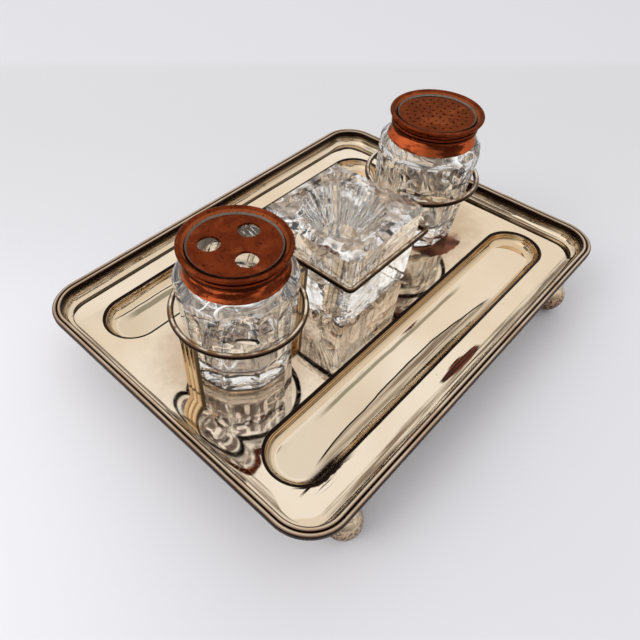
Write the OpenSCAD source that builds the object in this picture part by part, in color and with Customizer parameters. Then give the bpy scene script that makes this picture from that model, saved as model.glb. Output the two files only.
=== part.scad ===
// Desk inkstand: a reeded plated tray on ball feet, with a wire gallery that holds
// a square cut glass inkwell between two panelled glass jars with metal caps.
// The long side of the tray lies along X, the pen trough that faces the user is at -Y.
// The origin is on the table, under the middle of the tray.

/* [Tray] */
// Length of the tray over its border
tray_l = 250; // [230:1:280]
// Width of the tray over its border
tray_w = 185; // [178:1:215]
// Outer radius of the tray's corners
corner_r = 20; // [15:0.5:30]
// Thickness of the tray's sheet
sheet_t = 1.2; // [0.8:0.1:1.5]
// Height of the flat field above the table
field_h = 27.5; // [25:0.5:34]
// Rise from the field to the flange that carries the border
cove_h = 5.5; // [4.5:0.1:8]
// Radius where the field turns up into the cove
cove_r = 3.6; // [2.5:0.1:4.2]

/* [Border] */
// Diameter of each reed of the border
reed_d = 2.3; // [1.8:0.1:2.8]
// Number of reeds side by side
reed_count = 2; // [2:1:3]
// Thickness of the border's flat back under the reeds
border_back = 1.85; // [1.2:0.05:3]
// How far the border stands out past the flange under it
border_lap = 0.6; // [0.2:0.1:1.2]

/* [Pen troughs] */
// Distance of each trough's end walls from the tray's ends
trough_end_gap = 18.5; // [17:0.5:50]
// Width of a trough between its side walls
trough_w = 28.8; // [20:0.2:30]
// Depth of a trough below the field
trough_depth = 6; // [4.5:0.1:7]
// Radius of the shoulder where the field turns down into a trough
shoulder_r = 1.4; // [1.3:0.1:2]
// Distance of each trough's middle from the middle of the tray
trough_y = 57.2; // [54:0.2:62]

/* [Feet] */
// Diameter of each ball foot
ball_d = 18; // [14:0.5:19]
// Distance of each foot's middle from the tray's short end
foot_end_gap = 30; // [27.5:0.5:50]
// How far each foot's middle lies inside the tray's long edge
foot_inset = 6.5; // [6:0.5:12]
// Diameter of the flat that each ball rests on
ball_flat_d = 5; // [3:0.5:7]
// Narrowest diameter of a foot's neck
neck_d = 7.6; // [6:0.2:9]
// Diameter of the neck's flare under the tray
flare_d = 10.4; // [9:0.2:12]

/* [Gallery] */
// Diameter of the gallery's wire
wire_d = 2.8; // [2:0.1:3.2]
// Height of the wire's middle above the field
wire_rise = 33; // [26:0.5:38]
// Distance of each ring's middle from the middle of the tray
ring_x = 70.8; // [68:0.2:76]
// Clearance between a jar's widest cut edge and its ring
ring_gap = 2.1; // [1.2:0.1:3]
// Clearance on each side between the inkwell and its square frame
frame_gap = 1.1; // [0.6:0.1:1.6]
// Bend radius of the square frame's corners, to the middle of the wire
frame_bend = 2; // [1.8:0.2:5]
// Width of the reeded straps that carry the gallery
strap_w = 8.7; // [6:0.3:10.5]
// Number of reeds on a strap
strap_reeds = 3; // [2:1:4]
// How far the straps grip up round the wire, below its middle
strap_grip = 0.5; // [0.3:0.1:0.9]

/* [Jars] */
// Radius of a jar at its rounded shoulder
jar_r = 27.6; // [26:0.1:28.5]
// Number of flat panels cut round a jar
panels = 10; // [8:1:12]
// Distance from a jar's middle to its panels, at the top of the panels
panel_top = 25.9; // [24.5:0.1:26.5]
// Distance from a jar's middle to its panels, at the base
panel_base = 23.5; // [22:0.1:24.5]
// Height of a jar's shoulder above its base
shoulder_h = 56; // [50:0.5:60]
// Radius of the rounded shoulder
shoulder_round = 9.2; // [7:0.1:10.5]
// Radius of the neck that the metal mount is cemented to
neck_r = 18.6; // [17:0.1:19.5]
// Radius of the bore through the neck
bore_r = 15.4; // [12:0.1:16]
// Height of the neck above the shoulder
neck_rise = 7.6; // [6:0.1:9]
// Radius of the hollow inside a jar
hollow_r = 19.6; // [16:0.1:21]
// Thickness of a jar's solid base
base_t = 9; // [6:0.5:14]
// Diameter of the ground recess under a jar
punty_d = 42; // [16:1:43]
// Depth of the ground recess under a jar
punty_depth = 1.2; // [0.6:0.1:2]

/* [Mounts and caps] */
// Thickness of the cement between neck and collar
cement_t = 0.6; // [0.4:0.1:1]
// Wall of the spun collar and cap
mount_t = 0.9; // [0.7:0.1:1.2]
// Radius of the collar's flared lower edge
collar_r = 22.6; // [21.8:0.1:23.5]
// Height of the collar from its lower edge to the top of its bead
collar_h = 6.9; // [6:0.1:8]
// Radius of the small beads round the collar and the cap
bead_r = 0.8; // [0.6:0.1:1]
// Radial clearance of a cap on its collar
cap_fit = 0.05; // [0.02:0.01:0.1]
// Height of a cap from its lower edge to its lip
cap_h = 5.6; // [5.2:0.1:7]
// Outer radius of a cap's lip
lip_r = 23.4; // [22:0.1:24]
// Radius of the roll at the edge of a cap's lip
lip_round = 1; // [0.7:0.1:1.2]
// Width of the slope from a cap's lip down to its plate
lip_slope = 1.9; // [1.5:0.1:2.5]
// Depth of the plate below the lip
plate_depth = 1.8; // [1.2:0.1:2.2]
// Thickness of a cap's plate
plate_t = 1; // [0.8:0.1:1.4]
// Width and height of the fillet of solder round a cap's plate
solder_w = 0.7; // [0.5:0.1:0.9]
// Diameter of each of the three pen holes
pen_hole_d = 9.3; // [7:0.1:10.5]
// Distance of the pen holes from the middle of the cap
pen_hole_at = 10.2; // [8.5:0.1:11]
// Diameter of the shaker holes in the other cap
pin_hole_d = 1.1; // [0.8:0.1:1.4]
// Spacing of the rings of shaker holes
pin_pitch = 3.7; // [3:0.1:4]
// Number of rings of shaker holes
pin_rings = 4; // [2:1:4]

/* [Inkwell] */
// Width of the inkwell across its flat sides, at the top
well_w = 56; // [52:0.5:58]
// Height of the inkwell
well_h = 47.5; // [40:0.5:52]
// How much narrower each side is at the base
well_draft = 0.8; // [0:0.1:1.5]
// Bevel round the inkwell's top edges
top_bevel = 2.4; // [1.5:0.1:3]
// Bevel down the inkwell's upright edges
side_bevel = 3.2; // [2:0.1:4.5]
// Bevel round the inkwell's base
base_bevel = 3; // [1:0.1:4]
// Width of the rim that the inkwell rests on
rest_rim = 1.4; // [1:0.1:4]
// Depth of the recess inside that rim
rest_depth = 0.8; // [0.5:0.1:1.5]
// Width of the rounded square recess in the top of the inkwell
recess_w = 46; // [44:0.5:47]
// Depth of the recess
recess_depth = 2.2; // [1.5:0.1:3.5]
// Diameter of the funnel's mouth in the floor of the recess
funnel_d = 40; // [36:0.5:43]
// Height of the funnel
funnel_h = 14; // [10:0.5:16]
// Diameter of the well below the funnel
shaft_d = 18; // [16:0.5:26]
// Whole depth of the well
well_depth = 36; // [28:0.5:40]
// Number of tapered flutes cut down the funnel
flutes = 28; // [16:2:32]
// Width of each flute at the funnel's mouth
flute_w = 2.6; // [1.8:0.1:2.8]

/* [Hidden] */

$fn = 96;

SILVER = [0.80, 0.74, 0.63];
WORN = [0.66, 0.58, 0.46];
COPPER = [0.45, 0.18, 0.10];
SOLDER = [0.55, 0.53, 0.50];
GLASS = [0.86, 0.90, 0.91];
PLASTER = [0.85, 0.82, 0.76];

// Border, flange and cove, from the outer edge inwards
border_w = reed_d * reed_count;
flange_h = field_h + cove_h;
foot_of_cove = border_w + cove_r;
reed_h = flange_h + border_back;
field_l = tray_l - 2 * foot_of_cove;
field_w = tray_w - 2 * foot_of_cove;
field_r = corner_r - foot_of_cove;
under_field = field_h - sheet_t;

// Troughs
trough_end = trough_w / 2;
wall_r = trough_depth - shoulder_r;
trough_run = tray_l - 2 * trough_end_gap - trough_w;

// Gallery
wire_h = field_h + wire_rise;
ring_r = panel_edge(wire_rise) + ring_gap + wire_d / 2;
frame_w = well_w + 2 * frame_gap + wire_d;
strap_d = strap_w / strap_reeds;
strap_top = wire_h - strap_grip;

// Jars, with heights above the field
round_h = shoulder_h - shoulder_round;
mouth_h = shoulder_h + neck_rise;
collar_in = neck_r + cement_t;
collar_z = round_h + sqrt(pow(shoulder_round, 2)
    - pow(collar_r - (jar_r - shoulder_round), 2)) + 0.1;
collar_top = collar_z + collar_h;
upstand_r = collar_in + mount_t;
cap_z = collar_top + 0.1;
cap_in = upstand_r + cap_fit;
cap_top = cap_z + cap_h;
plate_z = cap_top - plate_depth - plate_t;
plate_r = lip_r - 2 * lip_round - lip_slope;
opening_r = plate_r - mount_t;
panel_turn = -132;

// Inkwell, with heights above the field
recess_at = well_h - recess_depth;
throat_at = recess_at - funnel_h;
rest_w = well_w - 2 * (well_draft + base_bevel + rest_rim);

// Radius of a jar's cut upright edges at a height above its base
function panel_edge(h) = (panel_base + (panel_top - panel_base) * h / shoulder_h) / cos(180 / panels);

// Part of a flat ring between two radii, over the quarter turn that starts at an angle
module quarter_ring(inner, outer, from) {
    rotate([0, 0, from])
        intersection() {
            difference() {
                circle(r = outer);
                circle(r = inner);
            }
            square([outer, outer]);
        }
}

// Sweeps a section round a rounded rectangle. The section's X runs out from the corner's middle.
module sweep_round(length, width, radius) {
    for (side = [0:3]) {
        out = side % 2 == 0 ? length : width;
        along = side % 2 == 0 ? width : length;
        rotate([0, 0, 90 * side])
            translate([out / 2 - radius, along / 2 - radius, 0]) {
                rotate_extrude(angle = 90)
                    children();
                rotate([90, 0, 0])
                    linear_extrude(height = along - 2 * radius)
                        children();
            }
    }
}

module rounded_rectangle(length, width, radius) {
    square([length - 2 * radius, width], center = true);
    square([length, width - 2 * radius], center = true);
    for (x = [-1, 1], y = [-1, 1])
        translate([x * (length / 2 - radius), y * (width / 2 - radius)])
            circle(r = radius);
}

// Sheet from the field's edge up the cove and out under the border
module cove_section() {
    edge = corner_r - border_w;
    translate([field_r, field_h + cove_r])
        quarter_ring(cove_r, cove_r + sheet_t, -90);
    translate([edge, field_h + cove_r])
        square([sheet_t, cove_h - cove_r]);
    translate([edge, flange_h - sheet_t])
        square([border_w - border_lap, sheet_t]);
    translate([field_r - sheet_t, under_field])
        square([sheet_t, sheet_t]);
}

// Space above the underside of the cove and flange, which a foot's neck is coped to
module over_cove_section() {
    edge = corner_r - border_w;
    translate([field_r, field_h + cove_r])
        circle(r = cove_r + sheet_t);
    translate([field_r - tray_w / 4, under_field])
        square([tray_w / 4, tray_w / 4]);
    translate([0, field_h + cove_r])
        square([edge + sheet_t, tray_w / 4]);
    translate([edge, flange_h - sheet_t])
        square([tray_w / 4, tray_w / 4]);
}

// One side of a trough: shoulder, curved wall and floor, from the trough's middle outwards
module trough_section() {
    translate([trough_end + shoulder_r, field_h - shoulder_r])
        quarter_ring(shoulder_r - sheet_t, shoulder_r, 90);
    translate([trough_end - wall_r, field_h - shoulder_r])
        quarter_ring(wall_r, wall_r + sheet_t, -90);
    translate([0, field_h - trough_depth - sheet_t])
        square([trough_end - wall_r, sheet_t]);
}

module trough() {
    for (end = [-1, 1])
        translate([end * trough_run / 2, 0, 0])
            rotate([0, 0, -90 * end])
                rotate_extrude(angle = 180)
                    trough_section();
    for (side = [0, 1])
        mirror([0, side, 0])
            translate([-trough_run / 2, 0, 0])
                rotate([90, 0, 90])
                    linear_extrude(height = trough_run)
                        trough_section();
}

module trough_hole() {
    opening = trough_end + shoulder_r;
    square([trough_run, 2 * opening], center = true);
    for (end = [-1, 1])
        translate([end * trough_run / 2, 0])
            circle(r = opening);
}

module tray() color(SILVER) {
    translate([0, 0, under_field])
        linear_extrude(height = sheet_t)
            difference() {
                rounded_rectangle(field_l, field_w, field_r);
                for (side = [-1, 1])
                    translate([0, side * trough_y])
                        trough_hole();
            }
    for (side = [-1, 1])
        translate([0, side * trough_y, 0])
            trough();
    sweep_round(tray_l, tray_w, corner_r)
        cove_section();
}

module border() color(WORN)
    sweep_round(tray_l, tray_w, corner_r) {
        translate([corner_r - border_w, flange_h])
            square([border_w, border_back]);
        for (reed = [0:reed_count - 1])
            translate([corner_r - (reed + 0.5) * reed_d, reed_h])
                circle(d = reed_d);
    }

// Hollow ball that the tray stands on, with a small flat where it rests
module foot_ball() {
    flat_drop = ball_d / 2 - sqrt(pow(ball_d / 2, 2) - pow(ball_flat_d / 2, 2));
    intersection() {
        translate([0, 0, ball_d / 2 - flat_drop])
            sphere(d = ball_d);
        cylinder(d = 2 * ball_d, h = 2 * ball_d);
    }
}

// Turned neck between ball and tray, hollowed in the middle and coped at both ends
module foot_neck(front) {
    flat_drop = ball_d / 2 - sqrt(pow(ball_d / 2, 2) - pow(ball_flat_d / 2, 2));
    ball_top = ball_d - flat_drop;
    waist = (ball_top + under_field) / 2;
    sweep_r = (under_field - ball_top) * 0.45;
    difference() {
        translate([0, 0, ball_top - 1])
            cylinder(d = flare_d, h = flange_h - ball_top + 1);
        translate([0, 0, waist])
            rotate_extrude()
                translate([neck_d / 2 + sweep_r, 0])
                    circle(r = sweep_r);
        translate([0, 0, ball_d / 2 - flat_drop])
            sphere(d = ball_d);
        translate([0, front * foot_inset, 0])
            rotate([0, 0, front > 0 ? 0 : 180])
                translate([-flare_d, -corner_r, 0])
                    rotate([90, 0, 90])
                        linear_extrude(height = 2 * flare_d)
                            over_cove_section();
    }
}

module at_foot(x, y)
    translate([x * (tray_l / 2 - foot_end_gap), y * (tray_w / 2 - foot_inset), 0])
        children();

// Ring of round wire, bent round and soldered
module ring(side)
    translate([side * ring_x, 0, wire_h])
        rotate_extrude()
            translate([ring_r, 0])
                circle(d = wire_d);

module square_wire()
    translate([0, 0, wire_h])
        sweep_round(frame_w, frame_w, frame_bend)
            translate([frame_bend, 0])
                circle(d = wire_d);

// Section of a reeded strap: half round reeds on a flat back, which faces -X
module strap_section() {
    translate([-strap_d / 2, -strap_w / 2])
        square([strap_d / 2, strap_w]);
    for (reed = [0:strap_reeds - 1])
        translate([0, (reed + 0.5) * strap_d - strap_w / 2])
            circle(d = strap_d);
}

// Upright strap from the field to the outer side of a ring
module outer_strap(side) color(SILVER)
    difference() {
        translate([side * (ring_x + ring_r), 0, field_h])
            rotate([0, 0, side > 0 ? 0 : 180])
                linear_extrude(height = strap_top - field_h)
                    strap_section();
        ring(side);
    }

// Upright strap under the square frame, with an arm that reaches out under the ring
module inner_strap(side) color(SILVER)
    difference() {
        rotate([0, 0, side > 0 ? 0 : 180]) {
            translate([frame_w / 2, 0, field_h])
                linear_extrude(height = strap_top - field_h)
                    strap_section();
            difference() {
                translate([frame_w / 2 - strap_d / 2, -strap_w / 2, strap_top - strap_d])
                    cube([ring_x - frame_w / 2, strap_w, strap_d]);
                translate([ring_x, 0, 0])
                    cylinder(r = ring_r, h = 2 * wire_h);
            }
        }
        ring(side);
        square_wire();
    }

// Solid outline of a jar: rounded shoulder and neck, with flat panels cut all round
module jar_outline() {
    lean = atan((panel_top - panel_base) / shoulder_h);
    difference() {
        rotate_extrude() {
            square([jar_r, round_h]);
            translate([jar_r - shoulder_round, round_h])
                circle(r = shoulder_round);
            square([jar_r - shoulder_round, shoulder_h]);
            square([neck_r, mouth_h]);
        }
        for (panel = [0:panels - 1])
            rotate([0, 0, panel_turn + panel * 360 / panels])
                translate([panel_base, 0, 0])
                    rotate([0, lean, 0])
                        translate([0, -jar_r, -jar_r])
                            cube([jar_r, 2 * jar_r, 2 * jar_r + mouth_h]);
    }
}

// Hollow of a jar, wide below the shoulder and drawn in to the neck's bore
module jar_hollow() {
    floor_round = 5;
    roof_round = 4;
    roof = shoulder_h - 4.5;
    rotate_extrude() {
        translate([0, base_t])
            square([hollow_r - floor_round, roof - base_t]);
        translate([0, base_t + floor_round])
            square([hollow_r, roof - roof_round - base_t - floor_round]);
        translate([hollow_r - floor_round, base_t + floor_round])
            circle(r = floor_round);
        translate([hollow_r - roof_round, roof - roof_round])
            circle(r = roof_round);
        translate([0, base_t + 1])
            square([bore_r, mouth_h]);
    }
}

module jar(side) color(GLASS) {
    punty_r = (pow(punty_d / 2, 2) + pow(punty_depth, 2)) / (2 * punty_depth);
    translate([side * ring_x, 0, field_h])
        difference() {
            jar_outline();
            jar_hollow();
            translate([0, 0, punty_depth - punty_r])
                sphere(r = punty_r, $fn = 200);
        }
}

module on_jar(side)
    translate([side * ring_x, 0, field_h])
        children();

// Plaster that holds the collar on the neck
module cement(side) color(PLASTER)
    on_jar(side)
        translate([0, 0, shoulder_h])
            difference() {
                cylinder(r = collar_in, h = collar_top - shoulder_h);
                translate([0, 0, -1])
                    cylinder(r = neck_r, h = collar_top - shoulder_h + 2);
            }

// Spun collar: flared foot, bead, and the upstand that the cap slides over
module collar(side) color(COPPER)
    on_jar(side)
        difference() {
            rotate_extrude() {
                polygon([[collar_in, shoulder_h], [collar_r - mount_t, collar_z],
                    [collar_r, collar_z], [upstand_r + bead_r / 2, collar_top - 2 * bead_r],
                    [collar_in, collar_top - 2 * bead_r]]);
                translate([collar_in, collar_top - 2 * bead_r])
                    square([mount_t + bead_r, 2 * bead_r]);
                translate([upstand_r + bead_r, collar_top - bead_r])
                    circle(r = bead_r);
                translate([collar_in, shoulder_h])
                    square([mount_t, mouth_h - shoulder_h]);
            }
            rotate_extrude() {
                square([jar_r - shoulder_round, shoulder_h]);
                translate([jar_r - shoulder_round, round_h])
                    circle(r = shoulder_round);
            }
        }

// Spun rim of a cap: skirt with a bead, waist, and a rolled lip round the sunk plate
module cap_rim(side) color(COPPER)
    on_jar(side)
        rotate_extrude() {
            skirt_r = cap_in + mount_t;
            roll_r = lip_r - lip_round;
            polygon([[cap_in, cap_z], [skirt_r, cap_z], [skirt_r, cap_top - 3 * lip_round],
                [roll_r, cap_top - 2 * lip_round], [roll_r, cap_top],
                [roll_r - lip_round, cap_top - lip_round / 2], [plate_r, plate_z + plate_t],
                [plate_r, plate_z], [opening_r, plate_z], [opening_r, plate_z - mount_t],
                [cap_in, plate_z - mount_t]]);
            translate([skirt_r, cap_z + bead_r])
                circle(r = bead_r);
            translate([roll_r, cap_top - lip_round])
                circle(r = lip_round);
        }

module cap_plate_blank()
    translate([0, 0, plate_z])
        cylinder(r = plate_r, h = plate_t);

// Plate with three holes that pens stand in
module pen_plate() color(COPPER)
    on_jar(-1)
        difference() {
            cap_plate_blank();
            for (hole = [0:2])
                rotate([0, 0, 13 + 120 * hole])
                    translate([pen_hole_at, 0, plate_z - 1])
                        cylinder(d = pen_hole_d, h = plate_t + 2);
        }

// Plate with rings of small holes for shaking out pounce
module pounce_plate() color(COPPER)
    on_jar(1)
        difference() {
            cap_plate_blank();
            translate([0, 0, plate_z - 1])
                cylinder(d = pin_hole_d, h = plate_t + 2, $fn = 24);
            for (circle_of = [1:pin_rings], hole = [0:6 * circle_of - 1])
                rotate([0, 0, hole * 60 / circle_of])
                    translate([circle_of * pin_pitch, 0, plate_z - 1])
                        cylinder(d = pin_hole_d, h = plate_t + 2, $fn = 24);
        }

// Ring of solder that seals the plate to its rim
module cap_solder(side) color(SOLDER)
    on_jar(side)
        rotate_extrude()
            translate([plate_r, plate_z + plate_t])
                polygon([[0, 0], [0, solder_w], [-solder_w, 0]]);

// Outline of the inkwell seen along one level axis
module well_side() {
    half = well_w / 2;
    foot = half - well_draft;
    polygon([[-foot + base_bevel, 0], [foot - base_bevel, 0], [foot, base_bevel],
        [half, well_h - top_bevel], [half - top_bevel, well_h],
        [-half + top_bevel, well_h], [-half, well_h - top_bevel], [-foot, base_bevel]]);
}

module well_plan() {
    half = well_w / 2;
    cut = half - side_bevel;
    polygon([[half, cut], [cut, half], [-cut, half], [-half, cut],
        [-half, -cut], [-cut, -half], [cut, -half], [half, -cut]]);
}

// Well seen as a half section: funnel, shaft and rounded bottom
module well_section() {
    bottom_round = 0.24 * shaft_d;
    floor_at = well_h - well_depth;
    translate([0, floor_at + bottom_round])
        square([shaft_d / 2, throat_at - floor_at - bottom_round]);
    translate([0, floor_at])
        square([shaft_d / 2 - bottom_round, well_depth]);
    translate([shaft_d / 2 - bottom_round, floor_at + bottom_round])
        circle(r = bottom_round);
    polygon([[0, throat_at], [shaft_d / 2, throat_at], [funnel_d / 2, recess_at],
        [funnel_d / 2, well_h], [0, well_h]]);
}

// Tapered flutes ground down the slope of the funnel, from the recess to the throat
module funnel_flutes() {
    lean = atan((funnel_d - shaft_d) / 2 / funnel_h);
    run = funnel_h / cos(lean);
    intersection() {
        cylinder(d = recess_w, h = recess_at + recess_depth / 2);
        for (flute = [0:flutes - 1])
            rotate([0, 0, (flute + 0.5) * 360 / flutes])
                translate([shaft_d / 2, 0, throat_at])
                    rotate([0, lean, 0])
                        translate([0, 0, -run / 4])
                            cylinder(d1 = flute_w / 2, d2 = 1.1 * flute_w, h = 1.5 * run);
    }
}

module inkwell() color(GLASS)
    translate([0, 0, field_h])
        difference() {
            intersection() {
                linear_extrude(height = well_h)
                    well_plan();
                translate([0, well_w / 2, 0])
                    rotate([90, 0, 0])
                        linear_extrude(height = well_w)
                            well_side();
                translate([-well_w / 2, 0, 0])
                    rotate([90, 0, 90])
                        linear_extrude(height = well_w)
                            well_side();
            }
            translate([0, 0, recess_at])
                linear_extrude(height = 2 * recess_depth)
                    rounded_rectangle(recess_w, recess_w, recess_w / 4);
            rotate_extrude()
                well_section();
            funnel_flutes();
            translate([0, 0, -rest_depth])
                linear_extrude(height = 2 * rest_depth)
                    rounded_rectangle(rest_w, rest_w, rest_w / 8);
        }

tray();
border();
color(SILVER) at_foot(-1, -1) foot_ball();  // foot_front_left
color(SILVER) at_foot(1, -1) foot_ball();  // foot_front_right
color(SILVER) at_foot(-1, 1) foot_ball();  // foot_rear_left
color(SILVER) at_foot(1, 1) foot_ball();  // foot_rear_right
color(WORN) at_foot(-1, -1) foot_neck(-1);  // neck_front_left
color(WORN) at_foot(1, -1) foot_neck(-1);  // neck_front_right
color(WORN) at_foot(-1, 1) foot_neck(1);  // neck_rear_left
color(WORN) at_foot(1, 1) foot_neck(1);  // neck_rear_right
color(WORN) ring(-1);  // ring_left
color(WORN) ring(1);  // ring_right
color(WORN) square_wire();  // square_frame
outer_strap(-1);  // outer_strap_left
outer_strap(1);  // outer_strap_right
inner_strap(-1);  // inner_strap_left
inner_strap(1);  // inner_strap_right
inkwell();
jar(-1);  // pen_jar
cement(-1);  // pen_cement
collar(-1);  // pen_collar
cap_rim(-1);  // pen_cap_rim
pen_plate();  // pen_cap_plate
cap_solder(-1);  // pen_cap_solder
jar(1);  // pounce_jar
cement(1);  // pounce_cement
collar(1);  // pounce_collar
cap_rim(1);  // pounce_cap_rim
pounce_plate();  // pounce_cap_plate
cap_solder(1);  // pounce_cap_solder
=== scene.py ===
import math

import bpy
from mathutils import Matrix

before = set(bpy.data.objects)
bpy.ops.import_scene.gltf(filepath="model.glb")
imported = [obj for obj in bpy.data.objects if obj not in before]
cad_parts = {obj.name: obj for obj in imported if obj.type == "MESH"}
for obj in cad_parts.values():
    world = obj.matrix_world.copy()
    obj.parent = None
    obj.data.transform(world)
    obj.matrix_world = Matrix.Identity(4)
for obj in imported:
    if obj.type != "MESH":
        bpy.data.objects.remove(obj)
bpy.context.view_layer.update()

# Tray: one sheet of copper pressed to shape, with a cove all round and two long pen troughs,
# then silver plated. The plate is polished like a mirror, has yellowed with age, and carries
# small dents, rubbed scratches and brown tarnish where damp has stood.


class Wire:
    """A value inside a shader: arithmetic on it adds the Math node that does it."""

    def __init__(self, tree, socket):
        self.tree = tree
        self.socket = socket

    def math(self, operation, *values):
        made = self.tree.nodes.new("ShaderNodeMath")
        made.operation = operation
        for place, value in enumerate(values):
            if isinstance(value, Wire):
                self.tree.links.new(value.socket, made.inputs[place])
            else:
                made.inputs[place].default_value = value
        return Wire(self.tree, made.outputs[0])

    def __add__(self, other):
        return self.math("ADD", self, other)

    def __radd__(self, other):
        return self.math("ADD", other, self)

    def __sub__(self, other):
        return self.math("SUBTRACT", self, other)

    def __rsub__(self, other):
        return self.math("SUBTRACT", other, self)

    def __mul__(self, other):
        return self.math("MULTIPLY", self, other)

    def __rmul__(self, other):
        return self.math("MULTIPLY", other, self)

    def __truediv__(self, other):
        return self.math("DIVIDE", self, other)

    def __rtruediv__(self, other):
        return self.math("DIVIDE", other, self)

    def __pow__(self, other):
        return self.math("POWER", self, other)

    def __neg__(self):
        return self.math("MULTIPLY", self, -1.0)

    def __abs__(self):
        return self.math("ABSOLUTE", self)

    def fract(self):
        return self.math("FRACT", self)

    def least(self, other):
        return self.math("MINIMUM", self, other)

    def most(self, *others):
        highest = self
        for other in others:
            highest = self.math("MAXIMUM", highest, other)
        return highest


class Shader:
    """A node tree, with one method that adds any node and a few that add common groups."""

    def __init__(self, tree, place):
        self.tree = tree
        self.place = self.node("ShaderNodeTexCoord", out=place)

    def node(self, kind, settings=None, values=None, out=0):
        made = self.tree.nodes.new(kind)
        for name, value in (settings or {}).items():
            setattr(made, name, value)
        for name, value in (values or {}).items():
            if isinstance(value, Wire):
                self.tree.links.new(value.socket, made.inputs[name])
            else:
                made.inputs[name].default_value = value
        return Wire(self.tree, made.outputs[out])

    def xyz(self):
        """The place itself, in metres."""
        return [self.node("ShaderNodeSeparateXYZ", {}, {0: self.place}, out=axis) for axis in range(3)]

    def millimetres(self):
        return [way * 1000 for way in self.xyz()]

    def stretched(self, x, y, z, turn=0.0):
        return self.node("ShaderNodeMapping", {}, {
            "Vector": self.place, "Scale": (x, y, z), "Rotation": (0, 0, turn)})

    def noise(self, scale, detail=3.0, rough=0.5, place=None, twist=0.0):
        return self.node("ShaderNodeTexNoise", {}, {
            "Vector": place or self.place, "Scale": scale, "Detail": detail, "Roughness": rough,
            "Distortion": twist})

    def step(self, value, low, high, to_low=0.0, to_high=1.0):
        """A soft rise from 0 at the low value to 1 at the high one, which may be the smaller."""
        return self.node("ShaderNodeMapRange", {"interpolation_type": "SMOOTHSTEP"}, {
            "Value": value, "From Min": low, "From Max": high, "To Min": to_low, "To Max": to_high})

    def band(self, value, middle, half, soft):
        """1 within half a width of the middle, with edges that soften inwards."""
        return self.step(abs(value - middle), half, half - soft)

    def blend(self, amount, under, over):
        return self.node("ShaderNodeMix", {"data_type": "RGBA"}, {0: amount, 6: under, 7: over}, out=2)

    def bump(self, height, strength, distance):
        return self.node("ShaderNodeBump", {}, {
            "Height": height, "Strength": strength, "Distance": distance})


class Finish(Shader):
    """A material with its Principled BSDF."""

    def __init__(self, name, **constants):
        self.material = bpy.data.materials.new(name)
        self.material.use_nodes = True
        super().__init__(self.material.node_tree, "Object")
        self.bsdf = self.tree.nodes["Principled BSDF"]
        for socket, value in constants.items():
            self.bsdf.inputs[socket.replace("_", " ")].default_value = value

    def feed(self, **sockets):
        for name, value in sockets.items():
            self.tree.links.new(value.socket, self.bsdf.inputs[name.replace("_", " ")])

    def on(self, *names):
        for name in names:
            piece = node(name)
            piece.data.materials.clear()
            piece.data.materials.append(self.material)


def rgb(*levels):
    """A colour read off a screen, each level from 0 to 255, as the light it stands for."""
    light = [((level / 255 + 0.055) / 1.055) ** 2.4 if level > 10 else level / 3295 for level in levels]
    return (*light, 1.0)


def node(name):
    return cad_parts[name]


def box(name):
    """The lowest and the highest corner of a piece, in millimetres."""
    corners = node(name).bound_box
    return [[pick(corner[axis] for corner in corners) * 1000 for axis in range(3)] for pick in (min, max)]


def from_edge(x, y):
    """How far a place lies inside the tray's outline."""
    past_x = abs(x) - straight_l
    past_y = abs(y) - straight_w
    outwards = (past_x.most(0.0) ** 2.0 + past_y.most(0.0) ** 2.0) ** 0.5
    return tray_corner_r - outwards - past_x.most(past_y).least(0.0)


def from_trough(x, y):
    """How far a place lies from the middle line of the nearer trough."""
    past_end = (abs(x) - trough_straight).most(0.0)
    aside = abs(y) - trough_y
    return (past_end * past_end + aside * aside) ** 0.5


# Sizes in millimetres
tray_corner_r = 20.0
straight_l = box("border")[1][0] - tray_corner_r
straight_w = box("border")[1][1] - tray_corner_r
flange_top = box("tray")[1][2]
trough_y = 57.2
trough_straight = 92.1
jar_x = -(box("pen_jar")[0][0] + box("pen_jar")[1][0]) / 2

plate = Finish("aged_silver_plate", Metallic=1.0, IOR=1.5)
x, y, z = plate.millimetres()
edge = from_edge(x, y)
trough = from_trough(x, y)
trough_floor = plate.step(trough, 12.2, 11.8)
by_front = y + trough_y
by_rear = y - trough_y
by_jars = ((abs(x) - jar_x) ** 2.0 + y * y) ** 0.5
by_block = abs(x).most(abs(y))

# Uneven lines: ragged in detail, swaying along the tray, and drawn out by polishing both ways
ragged = plate.noise(160, 4, 0.6) - 0.5
sway = plate.noise(1.0, 3, 0.55, plate.stretched(28, 9, 9)) - 0.5
drawn = plate.noise(1.0, 4, 0.6, plate.stretched(22, 900, 60))
drawn_across = plate.noise(1.0, 4, 0.6, plate.stretched(900, 22, 60))

# Silver yellowed in clouds, with freckles
yellowing = plate.step(plate.noise(14, 3), 0.35, 0.7)
colour = plate.blend(yellowing, rgb(240, 225, 205), rgb(228, 208, 180))
freckle = plate.step(plate.noise(900, 2, 0.6), 0.70, 0.78) * plate.step(plate.noise(60, 3), 0.45, 0.62)
colour = plate.blend(freckle * 0.7, colour, rgb(120, 88, 60))

# Painted reflection of the glass: browner round the jars and the inkwell
glass_reflection = plate.step(by_jars + ragged * 20.0, 52.0, 26.0).most(plate.step(by_block, 46.0, 26.0))
colour = plate.blend(glass_reflection * 0.5, colour, rgb(166, 132, 96))

# Bare copper beside the right jar
bare_round = plate.step(by_jars + ragged * 4.0, 33.0, 32.2)
bare_left = plate.step(x + ragged * 6.0, 50.0, 54.0)
bare_right = plate.step(x + ragged * 12.0, 82.0, 76.0)
bare = bare_round * bare_left * bare_right * plate.step(y, -10.0, -14.0)
copper_clouds = plate.blend(plate.step(plate.noise(120, 3), 0.40, 0.60), rgb(84, 50, 36), rgb(124, 76, 52))
colour = plate.blend(bare, colour, copper_clouds)
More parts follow.
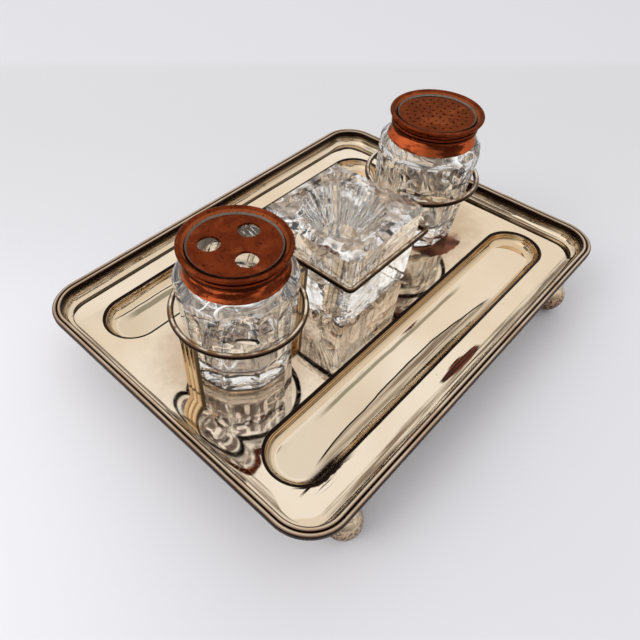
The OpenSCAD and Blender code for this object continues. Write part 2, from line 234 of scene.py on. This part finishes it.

# Painted golden highlight on the walls of the troughs
colour = plate.blend(plate.band(trough, 12.6, 2.6, 0.8) * 0.6, colour, rgb(204, 176, 136))

# Grey lap on the front trough's floor, in front of a wavy line
past_line = -by_front - ((x + 25.0) / 65.0) ** 2.0 * 4.6 - 3.6 + sway * 4.0
lap_run = plate.band(x, -18.0, 74.0, 10.0)
lapped = plate.step(past_line, -0.1, 0.4) * trough_floor * lap_run
lap_streaks = plate.blend(plate.step(drawn, 0.38, 0.60), rgb(110, 90, 70), rgb(206, 188, 162))
colour = plate.blend(lapped * 0.92, colour, lap_streaks)

# Stain towards the left end of the troughs, and olive streaks along their rear walls
pooled = plate.step(trough, 11.0, 8.5) * plate.step(x + sway * 40.0, -10.0, -70.0)
colour = plate.blend(pooled * 0.45, colour, rgb(204, 184, 156))
olive_front = plate.band(by_front + sway * 2.0, 7.4, 1.3, 0.8) * plate.band(x, -10.0, 64.0, 16.0)
olive_rear = plate.band(by_rear + sway * 4.0, 6.0, 2.2, 0.8) * plate.band(x, -36.0, 60.0, 10.0)
colour = plate.blend(olive_front.most(olive_rear) * 0.75, colour, rgb(112, 104, 78))

# Cove: painted darker as shade, and streaked along its length with painted reflections, wider at the front
# and the left
past_x = abs(x) - straight_l
past_y = abs(y) - straight_w
long_side = plate.step(past_x - past_y, 1.5, -1.5)
streaks = drawn * long_side + drawn_across * (1.0 - long_side)
front = plate.step(y, -74.0, -78.0)
left = plate.step(x, -104.0, -108.0) * plate.band(y, -36.0, 36.0, 12.0)
cove = plate.step(edge + sway * 2.5 - front * 2.4 - left * 3.2, 8.8, 7.9)
colour = plate.blend(cove * 0.5, colour, rgb(206, 182, 148))
# Painted reflections: light and dark streaks in the cove at the front and the sides
streaked_reflection = cove * plate.step(y, 76.0, 66.0) * plate.step(past_x.least(past_y), 3.0, -3.0)
cove_reflection_streaks = plate.blend(plate.step(streaks, 0.40, 0.60), rgb(112, 90, 70), rgb(226, 210, 186))
colour = plate.blend(streaked_reflection * 0.85, colour, cove_reflection_streaks)

# Blotch of dark red painted reflection in the middle of the front cove
blotch_reach = ((x + 2.0) / 17.0) ** 2.0 + ((y + 80.6 + sway * 3.0) / 2.3) ** 2.0 + (drawn - 0.5) * 1.6
blotch_streaks = plate.blend(plate.step(streaks, 0.40, 0.58), rgb(48, 32, 26), rgb(122, 64, 44))
colour = plate.blend(plate.step(blotch_reach, 1.0, 0.7), colour, blotch_streaks)

# Black: painted shade round the troughs and at the top and foot of the cove, black on the wavy lines, and
# grime burnt on at the front left
shade_round_troughs = plate.band(trough + ragged * 0.25, 15.4, 0.95, 0.25)
front_line = plate.band(past_line, 0.0, 0.5, 0.25) * lap_run * plate.step(by_front, 0.0, -0.5) * trough_floor
rear_line = plate.band(by_rear + sway * 4.0, 9.6, 0.5, 0.25) * plate.band(x, -36.0, 66.0, 10.0)
cove_foot_shade = plate.band(edge, 8.4, 0.4, 0.2) * plate.step(plate.noise(30, 2), 0.40, 0.55) * 0.7
cove_top_shade = plate.step(z, flange_top - 2.4, flange_top - 0.8) * 0.85
strands = plate.step(trough, 21.0, 17.5) * plate.step(drawn, 0.55, 0.60)
burnt_round = plate.step(trough + ragged * 3.0, 17.4, 16.8).most(strands)
burnt = burnt_round * plate.step(by_front, -8.0, -12.0) * plate.step(x, -72.0, -86.0)
painted_shade_and_grime = shade_round_troughs.most(front_line, rear_line, cove_foot_shade, cove_top_shade, burnt)
colour = plate.blend(painted_shade_and_grime, colour, rgb(34, 24, 20))

# Surface: smudges, scratches two ways on the level parts, dents, and a field that dishes
smudge = plate.step(plate.noise(45, 4, 0.6), 0.40, 0.75)
off_walls = plate.step(trough, 16.0, 16.4).most(plate.step(trough, 11.0, 10.0))
level_ground = off_walls * plate.step(edge, 8.8, 9.2)
hairline = plate.step(plate.noise(1.0, 2, 0.5, plate.stretched(60, 3600, 60, 0.5)), 0.66, 0.74)
crossing = plate.step(plate.noise(1.0, 2, 0.5, plate.stretched(2800, 45, 60, 0.3)), 0.68, 0.76)
scratch = (hairline + crossing) * level_ground
dents = plate.noise(30, 2, 0.4) * 0.35 + plate.noise(9, 1, 0.3) * 0.7
dishing = plate.step(edge, 20.0, 7.5) * (1.6 + plate.noise(24, 2) * 0.8)
plate.feed(
    Base_Color=colour,
    Roughness=0.045 + smudge * 0.05 + scratch * 0.05 + bare * 0.25 + freckle * 0.3 + painted_shade_and_grime * 0.2,
    Normal=plate.bump(dents + dishing + scratch * 0.004, 0.6, 0.001))
plate.on("tray")

# Border: cast reeded strip, bent round the tray's edge and soft soldered on. The plate has worn
# through on the tops of the reeds to golden base metal. Their flanks and undersides are darkened
# with painted shade, and black tarnish and painted shade sit between them.
reed_d = 2.3
reed_top = box("border")[1][2]

border_plate = Finish("worn_reeded_border", Metallic=1.0, IOR=1.5)
x, y, z = border_plate.millimetres()
edge = from_edge(x, y)
flank = abs((edge / reed_d).fract() - 0.5) * 2
worn = border_plate.step(border_plate.noise(60, 4), 0.42, 0.66)
colour = border_plate.blend(worn * 0.6, rgb(214, 197, 174), rgb(182, 152, 122))
# Painted shade down the flanks of the reeds and on the outer reed
colour = border_plate.blend(border_plate.step(flank, 0.10, 0.52) * 0.85, colour, rgb(112, 82, 62))
outer = border_plate.step(edge, 1.5, 0.7)
colour = border_plate.blend(outer * 0.35, colour, rgb(104, 76, 66))
# Painted shade under the reeds, with tarnish and painted shade in the grooves between them
low = border_plate.step(z, reed_top - 1.0, reed_top - 1.8)
tarnish_and_shade_between = border_plate.step(flank + (border_plate.noise(200, 3) - 0.5) * 0.2, 0.56, 0.80)
painted_shade_and_grime = tarnish_and_shade_between.most(low * 0.8)
colour = border_plate.blend(painted_shade_and_grime, colour, rgb(38, 25, 20))
border_plate.feed(
    Base_Color=colour,
    Roughness=0.11 + painted_shade_and_grime * 0.3 + border_plate.noise(240, 3) * 0.10,
    Normal=border_plate.bump(border_plate.noise(300, 3), 0.12, 0.0003))
border_plate.on("border")

# Ball feet and necks: hollow balls stamped in two halves and turned necks, soldered under the
# tray's long edges. They shine on top and are more pitted lower down, where painted shade turns them brown.
ball_plate = Finish("pitted_ball_plate", Metallic=1.0, IOR=1.5)
x, y, z = ball_plate.millimetres()
# Painted shade lower down on each ball, where it is also more pitted
low = ball_plate.step(z, 19.0, 6.0)
pit = ball_plate.step(ball_plate.noise(850, 4, 0.65) + low * 0.10, 0.56, 0.64)
yellowing = ball_plate.step(ball_plate.noise(70, 3), 0.4, 0.7)
colour = ball_plate.blend(yellowing, rgb(226, 208, 180), rgb(196, 168, 128))
colour = ball_plate.blend(low * 0.8, colour, rgb(150, 108, 80))
colour = ball_plate.blend(pit * (0.35 + low * 0.6), colour, rgb(50, 36, 28))
ball_plate.feed(
    Base_Color=colour,
    Roughness=0.10 + low * 0.12 + pit * 0.35,
    Normal=ball_plate.bump(pit, 0.2, -0.0004))
for end in ("front_left", "front_right", "rear_left", "rear_right"):
    ball_plate.on("foot_" + end, "neck_" + end)

# Gallery: two rings and a square of round wire on four reeded straps, all soft soldered. The
# wire is worn golden in patches, and painted shade makes its sides brown and its underside nearly black.
wire_top = box("square_frame")[1][2]

wire_plate = Finish("worn_gallery_wire", Metallic=1.0, IOR=1.5)
x, y, z = wire_plate.millimetres()
# Painted shade: brown down the wire's sides and nearly black underneath
side_shade = wire_plate.step(z, wire_top, wire_top - 0.2)
under = wire_plate.step(z, wire_top - 0.35, wire_top - 0.65)
worn = wire_plate.step(wire_plate.noise(160, 4), 0.40, 0.60)
colour = wire_plate.blend(worn, rgb(232, 216, 194), rgb(150, 116, 82))
colour = wire_plate.blend(side_shade, colour, rgb(92, 66, 48))
colour = wire_plate.blend(under, colour, rgb(28, 20, 17))
wire_plate.feed(
    Base_Color=colour,
    Roughness=0.11 + under * 0.2 + wire_plate.noise(400, 3) * 0.08,
    Normal=wire_plate.bump(wire_plate.noise(500, 3), 0.15, 0.0002))
wire_plate.on("ring_left", "ring_right", "square_frame")

strap_reed = 2.9
strap_base = box("outer_strap_left")[0][2]

strap_plate = Finish("golden_reeded_strap", Metallic=1.0, IOR=1.5)
x, y, z = strap_plate.millimetres()
streak = strap_plate.noise(1.0, 3, 0.5, strap_plate.stretched(600, 600, 30))
colour = strap_plate.blend(strap_plate.step(streak, 0.35, 0.65), rgb(232, 212, 178), rgb(206, 176, 134))
# Painted shade in the grooves between the reeds and a painted shadow at each strap's foot, with random
# stains
groove_shade = strap_plate.step(abs((y / strap_reed + 0.5).fract() - 0.5) * 2, 0.74, 0.98)
stain = strap_plate.step(strap_plate.noise(90, 3), 0.60, 0.68)
foot = strap_plate.step(z + strap_plate.noise(300, 3) * 2.0, strap_base + 2.7, strap_base + 1.3)
stain_and_painted_shade = groove_shade.most(stain * 0.6, foot)
colour = strap_plate.blend(stain_and_painted_shade * 0.85, colour, rgb(52, 36, 26))
strap_plate.feed(
    Base_Color=colour,
    Roughness=0.09 + stain_and_painted_shade * 0.2 + streak * 0.05,
    Normal=strap_plate.bump(streak, 0.06, 0.0002))
for end in ("left", "right"):
    strap_plate.on("outer_strap_" + end, "inner_strap_" + end)


# Inkwell and jars: clear lead glass. The well is a square block, cut, bevelled and polished,
# with a fluted funnel that leads down to the ink. The jars have ten flat panels cut all round.
def cut_glass(name, flatten, size, streak, sparkle, swell):
    """Clear glass with faint streaks, painted darker as shade along some and turned to mirror along others
    for glints.
    """
    glass = Finish(name, Roughness=0.0, IOR=1.54, Transmission_Weight=0.97)
    painted_refraction_lines = glass.noise(size, 1.5, 0.4, glass.stretched(1, 1, flatten), twist=0.9)
    # Painted shade along some lines; patches of mirror along others stand in for glints
    shade = glass.step(painted_refraction_lines, 0.52, 0.455) * glass.step(painted_refraction_lines, 0.440, 0.452)
    glint = glass.step(painted_refraction_lines, 0.51, 0.580) * glass.step(painted_refraction_lines, 0.598, 0.586)
    glass.feed(
        Base_Color=glass.blend(shade * streak, (1.0, 0.995, 0.985, 1.0), rgb(126, 108, 92)),
        Metallic=glint * sparkle,
        Normal=glass.bump(glass.noise(60, 2) + glass.noise(200, 1) * 0.2, 0.5, swell))
    return glass


block_glass = cut_glass(
    "cut_block_glass", flatten=1.5, size=62.0, streak=0.65, sparkle=0.6, swell=0.0006)
block_glass.on("inkwell")
jar_glass = cut_glass(
    "cut_jar_glass", flatten=2.8, size=40.0, streak=0.15, sparkle=0.95, swell=0.0004)
jar_glass.on("pen_jar", "pounce_jar")

# Cement: plaster of Paris that fills the gap between each glass neck and its spun collar. It is
# cast in place, and dries dull and slightly uneven in tone.
plaster = Finish("dull_plaster", Roughness=0.85)
plaster.feed(
    Base_Color=plaster.blend(plaster.noise(300, 4), rgb(200, 192, 176), rgb(228, 222, 208)),
    Normal=plaster.bump(plaster.noise(900, 4), 0.3, 0.0002))
plaster.on("pen_cement", "pounce_cement")

# Collars and caps: spun copper that has lost its plate and turned red brown, with black specks
# and brighter metal where it is rubbed. The collars and a line under each cap are darkened with
# painted shade, and painted highlights light the lips' inner slopes and the collars. Each plate is sealed
# into its rim with grey solder.
cap_base = box("pen_cap_rim")[0][2]
cap_top = box("pen_cap_rim")[1][2]

copper = Finish("red_brown_copper", Metallic=1.0, IOR=1.5, Specular_Tint=(0.68, 0.61, 0.55, 1.0))
x, y, z = copper.millimetres()
from_axis = ((abs(x) - jar_x) ** 2.0 + y ** 2.0) ** 0.5
cloud = copper.step(copper.noise(150, 5, 0.6), 0.35, 0.68)
colour = copper.blend(cloud, rgb(96, 38, 18), rgb(118, 50, 24))
# Painted highlight on the inner slope of each cap's lip
lip_slope_highlight = copper.band(from_axis, 20.4, 0.9, 0.5) * copper.step(z, cap_top - 2.58, cap_top - 1.98)
colour = copper.blend(lip_slope_highlight * 0.4, colour, rgb(176, 96, 54))
speck = copper.step(copper.noise(700, 4, 0.7), 0.58, 0.66)
worn_off = copper.step(copper.noise(90, 3), 0.56, 0.66)
colour = copper.blend(worn_off * 0.35, colour, rgb(168, 86, 48))
# Painted highlight in patches low on each collar
collar_foot_highlight = copper.step(z, cap_base - 3.98, cap_base - 5.98) * copper.step(copper.noise(55, 3), 0.42, 0.58)
colour = copper.blend(collar_foot_highlight * 0.45, colour, rgb(206, 104, 54))
# Painted shade over each collar, crossed by streaks of painted highlight
collar = copper.step(z, cap_base - 0.28, cap_base - 0.78)
glow = copper.step(copper.noise(1.0, 3, 0.5, copper.stretched(70, 70, 260)), 0.46, 0.58)
colour = copper.blend(collar * 0.35, colour, rgb(58, 20, 12))
colour = copper.blend(collar * glow * 0.75, colour, rgb(226, 108, 58))
# Painted shade in a dark line under each cap's edge
shade_under_cap = copper.band(z, cap_base - 0.38, 0.9, 0.4)
colour = copper.blend(shade_under_cap * 0.8, colour, rgb(34, 14, 10))
colour = copper.blend(speck * 0.8, colour, rgb(30, 15, 12))
copper.feed(
    Base_Color=colour,
    Roughness=0.13 + cloud * 0.06 + speck * 0.3,
    Normal=copper.bump(copper.noise(900, 4), 0.18, 0.0002))

solder = Finish("grey_soft_solder", Metallic=1.0, IOR=1.5)
lump = solder.noise(700, 4, 0.6)
solder.feed(
    Base_Color=solder.blend(lump, rgb(70, 60, 54), rgb(150, 140, 130)),
    Roughness=0.35 + lump * 0.4,
    Normal=solder.bump(lump, 0.6, 0.0004))
for jar in ("pen", "pounce"):
    copper.on(jar + "_collar", jar + "_cap_rim", jar + "_cap_plate")
    solder.on(jar + "_cap_solder")

# Stage: a pale matt table, soft daylight from the back left, and the camera above the front left.
# The table is painted a little darker away from the camera, as the light falls off there, and painted
# lighter to the tray's left, on the camera's side, where its shade would fall.
bpy.ops.object.select_all(action="DESELECT")
bpy.ops.mesh.primitive_plane_add(size=6.0, location=(0, 0, 0))
table_top = bpy.context.object
table_top.name = "pale_table"
near_paint = (0.69, 0.688, 0.727, 1)
uneven_paint = (0.71, 0.708, 0.748, 1)
painted_light_left = (0.785, 0.783, 0.825, 1)
far_paint = (0.645, 0.642, 0.662, 1)
wall_paint = (0.68, 0.681, 0.718, 1)
pale = Finish("pale_table_paint", Roughness=0.75)
x, y, z = pale.xyz()
far = x * 0.717 + y * 0.697
left = y * 0.717 - x * 0.697
shade = pale.blend(pale.noise(9, 3), near_paint, uneven_paint)
# Painted light to the tray's left, on the camera's side
shade = pale.blend(pale.step(left, 0.02, 0.16) * pale.step(far, 0.10, -0.05), shade, painted_light_left)
shade = pale.blend(pale.step(far, 0.0, 0.24), shade, far_paint)
pale.feed(
    Base_Color=pale.blend(pale.step(far, 0.325, 0.345), shade, wall_paint),
    Normal=pale.bump(pale.noise(600, 3), 0.05, 0.0003))
table_top.data.materials.append(pale.material)

# Daylight that is dimmer low down, behind the camera, and where furniture would stand
world = bpy.data.worlds.new("soft_daylight")
bpy.context.scene.world = world
world.use_nodes = True
sky = Shader(world.node_tree, "Generated")
east, north, up = sky.xyz()
rising = sky.step(up, 0.0, 0.45, 0.86, 1.0)
level = (east * east + north * north + 0.0001) ** 0.5
to_camera = (east * -0.70 + north * -0.71) / level
dim_side = sky.step(to_camera, 0.30, 1.0) * sky.step(up, 0.75, 0.30)
room = sky.step(sky.noise(1.0, 1, 0.4, sky.stretched(1.6, 1.6, 0.9)) - up * 0.5, 0.25, 0.60)
daylight = sky.step(east * -0.86 + north * 0.30 + up * 0.41, 0.60, 1.0)
glow = rising * (1.0 - dim_side * 0.6) * (1.0 - room * 0.35) + daylight * 0.35
background = sky.tree.nodes["Background"]
sky.tree.links.new(glow.socket, background.inputs["Strength"])
background.inputs["Color"].default_value = (1.0, 0.995, 0.985, 1.0)

lamp = bpy.data.lights.new("window", "AREA")
lamp.shape = "RECTANGLE"
lamp.size = 1.0
lamp.size_y = 1.4
lamp.energy = 16.0
window = bpy.data.objects.new("window", lamp)
bpy.context.scene.collection.objects.link(window)
window.location = (-1.7, 0.6, 1.5)
window.rotation_euler = (-window.location).to_track_quat("-Z", "Y").to_euler()
window.visible_glossy = False
window.visible_transmission = False

# Camera solved from the photo, whose crop is off its lens's middle
lens = bpy.data.cameras.new("camera")
lens.lens = 29.268
lens.sensor_width = 36.0
lens.shift_x = 0.0872
lens.shift_y = 0.0821
lens.clip_start = 0.01
lens.clip_end = 20.0
camera = bpy.data.objects.new("camera", lens)
bpy.context.scene.collection.objects.link(camera)
camera.location = (-0.17871, -0.12095, 0.22425)
camera.rotation_euler = [math.radians(turn) for turn in (37.133, 0.058, -45.818)]
bpy.context.scene.camera = camera
bpy.context.scene.view_settings.view_transform = "Standard"

# Glass in front of mirror plate needs long light paths
light_paths = bpy.context.scene.cycles
light_paths.max_bounces = 24
light_paths.glossy_bounces = 16
light_paths.transmission_bounces = 24
